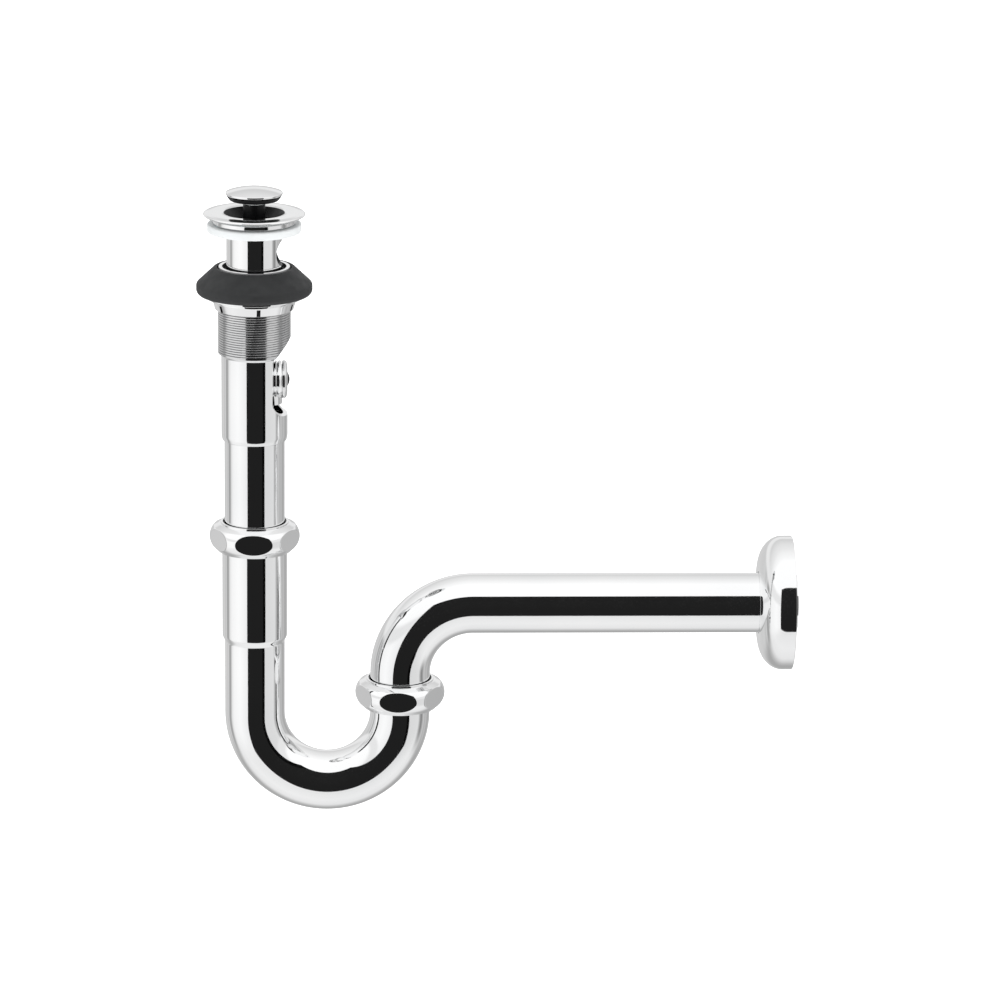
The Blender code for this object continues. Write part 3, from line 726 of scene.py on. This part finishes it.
def union_nut(name, node, centre_z, turn, look, body, x=0.0):
    """Rounded nut with six flats and a lip round the pipe. The flats' edges are buffed over.

    turn is how many degrees the front flat stands off the -Y direction.
    """
    ring_centre = NUT_CREST_R - NUT_ROUND_R
    hole, thread_r, shoulder = 16.7, 18.6, 4.0
    lip_foot = NUT_TOP - 1.0
    round_part = arc((ring_centre, 0), NUT_ROUND_R, -52, 44, 44)
    corners = [
        (thread_r, NUT_BOTTOM, 0.2), (thread_r + 0.8, NUT_BOTTOM, 0.3), *round_part,
        (NUT_LIP_R + 0.8, lip_foot, 0.5), (NUT_LIP_R, lip_foot, 0.12), (NUT_LIP_R, NUT_TOP, 0.15),
        (hole, NUT_TOP, 0.15), (hole, shoulder, 0.1), (thread_r, shoulder, 0.1),
    ]
    outline = [(r, centre_z + z) for r, z in eased(corners)]

    flats_from, buffed = 20, 0.2

    def flats(r, z, angle):
        side = (angle - radians(turn) + pi / 2 + pi / 6) % (pi / 3) - pi / 6
        return softer_min(r, NUT_APOTHEM / cos(side), buffed) if r > flats_from else r

    piece = make(name, lathe(outline, NUT_AROUND, flats, (x, 0)), look, body, [node])
    even_normals(piece, 50)


def inner_rings(rubber, milky):
    """Packings and slip washers inside the union nuts."""
    foot, top = level("inlet_packing")
    hole, outer = PIPE_R + 0.35, 18.1
    ring_r, ring_trims = 18.2, (0.1, 0.2, 0.2, 0.1)
    turned("inlet_packing_moulded", "inlet_packing",
           [(hole, foot, 0.1), (16.75, foot, 0.1), (17.2, foot + 1.3),
            (outer, foot + 1.6, 0.2), (outer, top, 0.3), (hole, top, 0.2)],
           rubber, "slider", "black_rubber", SMALL_AROUND)
    foot, top = level("inlet_slip_washer")
    turned("inlet_slip_washer_ring", "inlet_slip_washer",
           ring(hole, ring_r, foot, top, ring_trims),
           milky, "inlet_washer", "white_plastic", SMALL_AROUND)
    foot, top = level("outlet_packing")
    turned("outlet_packing_ring", "outlet_packing",
           ring(BORE_R + 0.4, outer, foot, top, (0.2, 0.3, 0.3, 0.2)),
           rubber, "trap", "black_rubber", SMALL_AROUND, centre=(OUTLET_X, 0))
    foot, top = level("outlet_slip_ring")
    turned("outlet_slip_ring_split", "outlet_slip_ring",
           ring(hole, ring_r, foot, top, ring_trims),
           milky, "outlet_ring", "white_plastic", SMALL_AROUND, centre=(OUTLET_X, 0))


def sweep(stations, around=PIPE_AROUND):
    """A hollow pipe through (centre, heading, outer radius, inner radius) stations."""
    bm = bmesh.new()
    rings = []
    turns = [2 * pi * k / around for k in range(around)]
    sideways = Vector((0, 1, 0))
    for (x, z), heading, outer, inner in stations:
        across = Vector((-sin(radians(heading)), 0, cos(radians(heading))))
        centre = Vector((x, 0, z))
        rings.append([
            [bm.verts.new(centre + radius * (cos(t) * across + sin(t) * sideways)) for t in turns]
            for radius in (outer, inner)
        ])

    def band(first, second):
        for k in range(around):
            after = (k + 1) % around
            bm.faces.new((first[k], first[after], second[after], second[k]))

    for before, behind in zip(rings, rings[1:]):
        band(before[0], behind[0])
        band(before[1], behind[1])
    band(*rings[0])
    band(*rings[-1])
    return bm


def round_bend(centre, start, end, steps, turn):
    """Stations round a bend, without its two ends."""
    points = arc(centre, BEND_R, start, end, steps)
    angles = [start + (end - start) * i / steps for i in range(steps + 1)]
    return [(p, a + turn, PIPE_R, BORE_R) for p, a in zip(points, angles)][1:-1]


def taper(x, top, drop, wide, narrow, steps=10):
    """Stations of a smoothly drawn-down length on a vertical leg, going down."""
    stations = []
    for i in range(steps + 1):
        share = smooth_step(i / steps)
        outer = wide[0] + (narrow[0] - wide[0]) * share
        inner = wide[1] + (narrow[1] - wide[1]) * share
        stations.append(((x, top - drop * i / steps), -90, outer, inner))
    return stations


def trap_bend(look):
    """The U-bend, with the expanded socket on its inlet leg."""
    collar, socket_r, socket_bore = 18.3, 17.2, PIPE_R + GAP
    mouth, collar_foot, socket_foot = INLET_NUT_Z - 1.4, INLET_NUT_Z - 7.4, -218.0
    stations = [
        ((0, mouth), -90, collar, 17.6),
        ((0, mouth - 3.3), -90, collar, socket_bore),
        ((0, collar_foot), -90, collar, socket_bore),
        ((0, collar_foot - 0.4), -90, socket_r, socket_bore),
        ((0, socket_foot + 0.8), -90, socket_r, socket_bore),
    ]
    stations += taper(0, socket_foot, 4.0, (socket_r, socket_bore), (PIPE_R, BORE_R))
    stations += [((0, socket_foot - 6.0), -90, PIPE_R, BORE_R),
                 ((0, BEND_Z), -90, PIPE_R, BORE_R)]
    stations += round_bend((BEND_R, BEND_Z), 180, 360, 72, 90)
    top = OUTLET_NUT_Z
    for z, outer in ((BEND_Z, PIPE_R), (top - 7.6, PIPE_R), (top - 7.2, collar),
                     (top - 1.7, collar)):
        stations.append(((OUTLET_X, z), 90, outer, BORE_R))
    piece = make("trap_bend_drawn", sweep(stations), look, "trap", ["trap_bend"])
    even_normals(piece, 30)


def wall_pipe(look):
    """The pipe from the outlet nut, round a quarter bend, to the wall."""
    flare, flare_foot = 18.0, -249.4
    stations = []
    for z, outer in ((flare_foot, flare), (flare_foot + 1.2, flare), (flare_foot + 1.5, PIPE_R),
                     (WALL_AXIS_Z - BEND_R, PIPE_R)):
        stations.append(((OUTLET_X, z), 90, outer, BORE_R))
    corner = (OUTLET_X + BEND_R, WALL_AXIS_Z - BEND_R)
    stations += round_bend(corner, 180, 90, 40, -90)
    end = wall_high.x
    stations += [
        ((corner[0], WALL_AXIS_Z), 0, PIPE_R, BORE_R),
        ((end - 0.3, WALL_AXIS_Z), 0, PIPE_R, BORE_R),
        ((end, WALL_AXIS_Z), 0, PIPE_R - 0.3, BORE_R + 0.2),
    ]
    piece = make("wall_pipe_drawn", sweep(stations), look, "arm", ["wall_pipe"])
    even_normals(piece, 30)


def wall_flange(chrome, rubber):
    """The pressed rosette, domed over the hole in the wall, and its grip ring."""
    back, depth, outer_r, sheet = rosette_high.x, 17.7, rosette_high.y, 1.2
    centre_r, centre_x, steps = 20.0, 5.0, 36

    def section(inset):
        points = []
        for i in range(steps + 1):
            angle = radians(90 - 90 * i / steps)
            points.append((centre_r + (outer_r - centre_r - inset) * cos(angle),
                           back - centre_x - (depth - centre_x - inset) * sin(angle)))
        return points

    outer, inner = section(0), section(sheet)
    hole = PIPE_R + 0.6
    outline = [(hole, back - depth + 0.5), (hole + 0.15, back - depth + 0.15),
               (hole + 0.5, back - depth)] + outer
    outline += [(outer_r, back - 0.3), (outer_r - 0.3, back), (outer_r - sheet, back)]
    outline += inner[::-1] + [(hole, inner[0][1])]
    piece = make("wall_flange_pressed", lathe(outline, WIDE_AROUND), chrome, "rosette",
                 ["wall_flange"], (0, WALL_AXIS_Z))
    even_normals(piece, 30)
    start, end = level("flange_grip", "x")
    turned("flange_grip_moulded", "flange_grip",
           ring(PIPE_R + GAP, 19.4, start, end, (0.3, 0.5, 0.5, 0.3)),
           rubber, "grip", "black_rubber", SMALL_AROUND, (0, WALL_AXIS_Z))


# ---------------------------------------------------------------- stage


def flat_sheet(name, corners, look):
    """A single rectangle of the stage."""
    mesh = bpy.data.meshes.new(name)
    mesh.from_pydata(corners, [], [tuple(range(len(corners)))])
    mesh.materials.append(look)
    made = bpy.data.objects.new(name, mesh)
    bpy.context.scene.collection.objects.link(made)
    return made


def ramp(tree, factor, stops):
    """A grey ramp. Stops are (angle in degrees, display brightness from 0 to 1)."""
    node = tree.nodes.new("ShaderNodeValToRGB")
    elements = node.color_ramp.elements
    while len(elements) > 1:
        elements.remove(elements[-1])
    for k, (angle, brightness) in enumerate(stops):
        place = (angle + 180) / 360
        element = elements[0] if k == 0 else elements.new(place)
        element.position = place
        grey = brightness**DISPLAY_GAMMA
        element.color = (grey, grey, grey, 1.0)
    tree.links.new(factor, node.inputs["Fac"])
    return node.outputs["Color"]


def math_node(tree, operation, first, second=None):
    """One Math node. Inputs are sockets or numbers."""
    node = tree.nodes.new("ShaderNodeMath")
    node.operation = operation
    for socket, value in zip(node.inputs, (first, second)):
        if isinstance(value, (int, float)):
            socket.default_value = value
        elif value is not None:
            tree.links.new(value, socket)
    return node.outputs[0]


def tent():
    """A white tent as a world: bright overhead and at the front left, greyer behind and below.

    Near the horizon it follows the azimuth (0 in front, 90 at the right), and
    further up or down the angle in the plane through the front and the top.
    """
    world = bpy.data.worlds.new("tent")
    bpy.context.scene.world = world
    world.use_nodes = True
    tree = world.node_tree
    where = tree.nodes.new("ShaderNodeTexCoord")
    parts = tree.nodes.new("ShaderNodeSeparateXYZ")
    tree.links.new(where.outputs["Generated"], parts.inputs["Vector"])
    x, y, z = parts.outputs
    front = math_node(tree, "MULTIPLY", y, -1.0)

    def share(angle):
        return math_node(tree, "ADD", math_node(tree, "DIVIDE", angle, 2 * pi), 0.5)

    round_the_side = ramp(tree, share(math_node(tree, "ARCTAN2", x, front)), [
        (-180, 0.79), (-150, 0.78), (-138, 0.8), (-127, 0.74), (-121, 0.82), (-115, 0.62),
        (-107, 0.62), (-99, 0.88), (-88, 0.95), (-60, 0.98), (-40, 0.95), (-28, 0.92), (0, 0.9),
        (36, 0.84), (60, 0.85), (76, 0.86), (85, 0.6), (92, 0.5), (98, 0.64), (105, 0.77),
        (113, 0.67), (120, 0.73), (138, 0.62), (150, 0.72), (180, 0.79),
    ])
    over_the_top = ramp(tree, share(math_node(tree, "ARCTAN2", z, front)), [
        (-180, 0.72), (-150, 0.64), (-125, 0.64), (-115, 0.72), (-106, 0.82), (-97, 0.89),
        (-70, 0.92), (-45, 0.9), (-35, 0.88), (0, 0.9), (40, 0.99), (92, 1.0), (100, 0.97),
        (111, 0.94), (122, 0.9), (135, 0.87), (152, 0.81), (164, 0.78), (180, 0.79),
    ])
    elevation = math_node(tree, "ARCSINE", z)
    depression = math_node(tree, "MULTIPLY", elevation, -1.0)

    def blend(angle, start, end, first, second):
        share_of = tree.nodes.new("ShaderNodeMapRange")
        share_of.interpolation_type = "SMOOTHSTEP"
        share_of.inputs["From Min"].default_value = radians(start)
        share_of.inputs["From Max"].default_value = radians(end)
        tree.links.new(angle, share_of.inputs["Value"])
        mix = tree.nodes.new("ShaderNodeMix")
        mix.data_type = "RGBA"
        tree.links.new(share_of.outputs["Result"], mix.inputs["Factor"])
        tree.links.new(first, mix.inputs["A"])
        tree.links.new(second, mix.inputs["B"])
        return mix.outputs["Result"]

    bright_wall = ramp(tree, share(elevation), [(-180, 0.895)])
    lower_half = blend(depression, 24, 44, round_the_side, over_the_top)
    near_horizon = blend(elevation, 5, 11, lower_half, bright_wall)
    colour = blend(elevation, 18, 26, near_horizon, over_the_top)
    background = tree.nodes["Background"]
    tree.links.new(colour, background.inputs["Color"])
    background.inputs["Strength"].default_value = 1.12


def cards():
    """A dark card in front of the trap, which only reflections see. Its right edge is black."""
    aim = Vector((0.1, 0, -0.16))
    azimuth, elevation, away, half_w, half_h = radians(2.8), radians(2.0), 1.5, 0.98, 1.17
    edge = 0.66  # where the black part starts, as a share of the half width
    back = Vector((sin(azimuth) * cos(elevation), -cos(azimuth) * cos(elevation), sin(elevation)))
    side = Vector((0, 0, 1)).cross(back).normalized()
    up = back.cross(side)
    middle = aim + back * away
    for name, glow, left, right in (("card", 0.015, -1.0, edge), ("card_edge", 0.003, edge, 1.0)):
        look, shader, _ = material(name + "_dark", (0.0, 0.0, 0.0), 1.0)
        shader.inputs["Specular IOR Level"].default_value = 0.0
        shader.inputs["Emission Color"].default_value = (1, 1, 1, 1)
        shader.inputs["Emission Strength"].default_value = glow
        corners = [middle + side * (sx * half_w) + up * (sy * half_h)
                   for sx, sy in ((left, -1), (right, -1), (right, 1), (left, 1))]
        made = flat_sheet(name, [tuple(c) for c in corners], look)
        made.visible_camera = False
        made.visible_diffuse = False
        made.visible_shadow = False


def studio():
    """Tent, card and a pale paper floor."""
    tent()
    cards()
    paper, shader, _ = material("floor_paper", (0.9, 0.9, 0.9), 0.9)
    shader.inputs["Emission Color"].default_value = (1, 1, 1, 1)
    shader.inputs["Emission Strength"].default_value = 0.7
    size = 8.0
    ground = (bend_low.z - 26) * MM  # the U-bend slides down by up to 20 mm
    floor = flat_sheet("floor", [(-size, -size, ground), (size, -size, ground),
                                 (size, size, ground), (-size, size, ground)], paper)
    floor.visible_glossy = False
    bpy.context.scene.view_settings.view_transform = "Standard"


def camera():
    """A long lens, a little left of the trap and looking down on it."""
    data = bpy.data.cameras.new("camera")
    made = bpy.data.objects.new("camera", data)
    bpy.context.scene.collection.objects.link(made)
    distance, yaw, pitch, roll = 3.0, radians(-2.48), radians(15.42), radians(0.59)
    aim = Vector((0.1292, 0, -0.145))
    back = Vector((sin(yaw) * cos(pitch), -cos(yaw) * cos(pitch), sin(pitch)))
    made.location = aim + back * distance
    upright = (-back).to_track_quat("-Z", "Y").to_matrix()
    made.rotation_euler = (upright @ Matrix.Rotation(roll, 3, "Z")).to_euler()
    data.sensor_width = 36
    data.lens = 5.6916 * data.sensor_width
    data.clip_start, data.clip_end = 0.05, 50
    bpy.context.scene.camera = made


def main():
    """Builds every piece and the stage."""
    chrome, cast, thread = polished_chrome(), cast_chrome(), thread_chrome()
    steel, rubber, resin, milky = turned_steel(), black_rubber(), black_resin(), milky_plastic()
    # bore is the near-black painted shade for the drain's mouth, the barrel's top recess and the
    # lock nut's slots.
    bore = recess_shade_coat()
    inlet_turn, outlet_turn = -1.8, -4.6
    drain_flange(chrome, bore)
    drain_barrel(thread, groove_shade_chrome(), chrome, bore)
    drain_rings(chrome, cast, milky)
    lever(resin, steel)
    plug(chrome, resin, seal_rubber(), milky, steel)
    basin_clamp(chrome, rubber, bore)
    union_nut("inlet_nut_buffed", "inlet_nut", INLET_NUT_Z, inlet_turn, chrome, "inlet_nut")
    union_nut("outlet_nut_buffed", "outlet_nut", OUTLET_NUT_Z, outlet_turn, chrome, "outlet_nut",
              OUTLET_X)
    inner_rings(rubber, milky)
    trap_bend(chrome)
    wall_pipe(chrome)
    wall_flange(chrome, rubber)
    studio()
    camera()


main()
